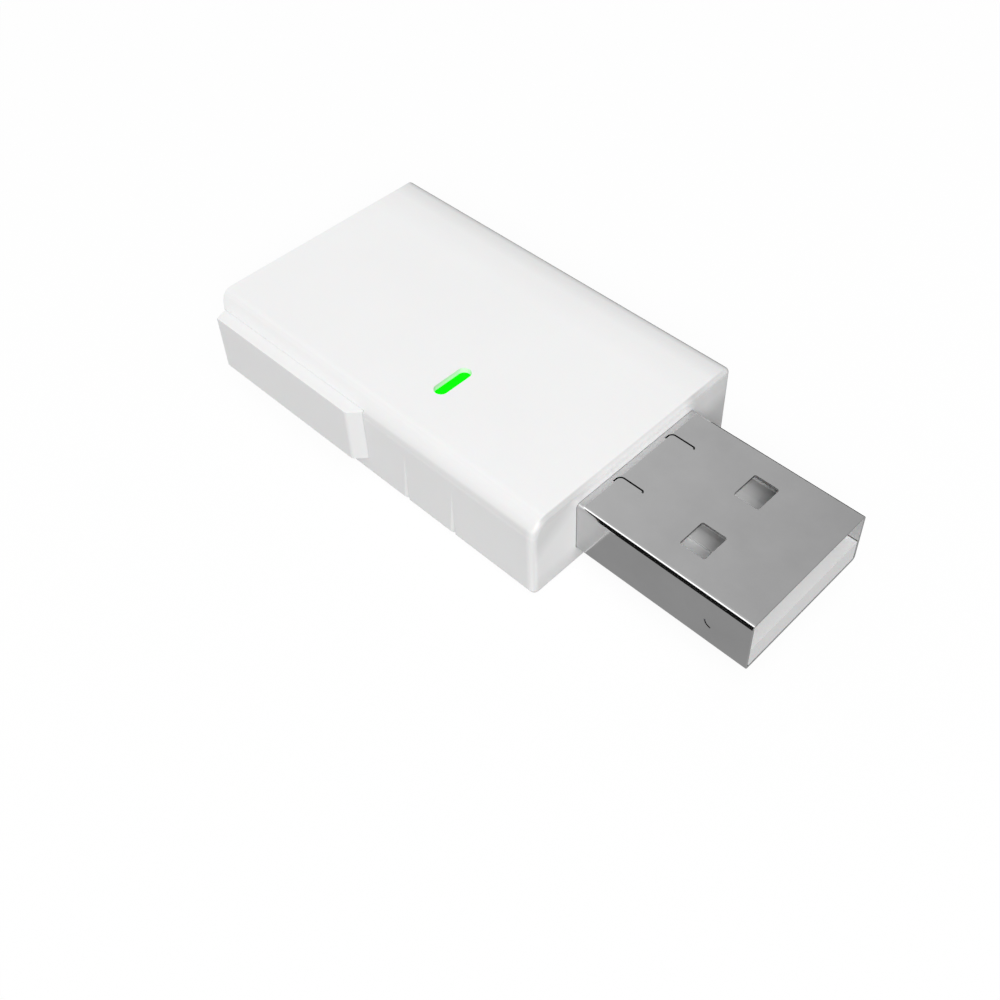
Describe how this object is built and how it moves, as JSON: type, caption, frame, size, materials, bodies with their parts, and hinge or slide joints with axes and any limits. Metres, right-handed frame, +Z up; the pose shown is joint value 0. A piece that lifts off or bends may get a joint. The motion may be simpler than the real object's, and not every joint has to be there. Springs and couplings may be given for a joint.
{
  "type": "usb wireless gateway",
  "caption": "Small plug-in wireless gateway: white rectangular casing with a light slot in its top, a push button in its side and a USB-A plug at its end.",
  "frame": {"origin": "on the flat underside, midway along the whole length, in the plug's middle plane", "axes": "+X out of the plug, +Z up from the underside, +Y away from the push button"},
  "size_m": [0.047, 0.0209, 0.0069],
  "materials": {
    "white_plastic": "satin moulded white",
    "clear_green": "clear light guide, lit green",
    "board_laminate": "green solder mask",
    "led_body": "pale resin",
    "chip_black": "moulded black resin",
    "can_steel": "tinned sheet",
    "antenna_ceramic": "white ceramic",
    "crystal_steel": "lidded metal package",
    "inductor_ferrite": "grey ferrite",
    "fuse_green": "green resin",
    "capacitor_ceramic": "brown ceramic",
    "resistor_black": "black film",
    "switch_resin": "black resin",
    "switch_steel": "stainless sheet",
    "plunger_resin": "natural resin",
    "shell_steel": "nickel-plated sheet",
    "insulator_plastic": "white moulded insulator",
    "contact_gold": "gold plated"
  },
  "bodies": {
    "casing": {"upper_housing": "white_plastic", "bottom_cover": "white_plastic", "light_pipe": "clear_green", "circuit_board": "board_laminate", "status_led": "led_body", "radio_chip": "chip_black", "shield_can": "can_steel", "antenna": "antenna_ceramic", "crystal": "crystal_steel", "flash_chip": "chip_black", "voltage_regulator": "chip_black", "inductor": "inductor_ferrite", "fuse": "fuse_green", "esd_diode": "chip_black", "capacitors": "capacitor_ceramic", "resistors": "resistor_black", "switch_body": "switch_resin", "switch_frame": "switch_steel", "usb_shell": "shell_steel", "usb_insulator": "insulator_plastic", "contact_ground": "contact_gold", "contact_data_plus": "contact_gold", "contact_data_minus": "contact_gold", "contact_vbus": "contact_gold"},
    "button": {"side_button": "white_plastic", "switch_plunger": "plunger_resin"}
  },
  "joints": [
    {"name": "button_press", "type": "slide", "parent": "casing", "child": "button", "axis": [0, 1, 0], "range_m": [0, 0.0002], "stiffness_N_per_m": 5000}
  ]
}
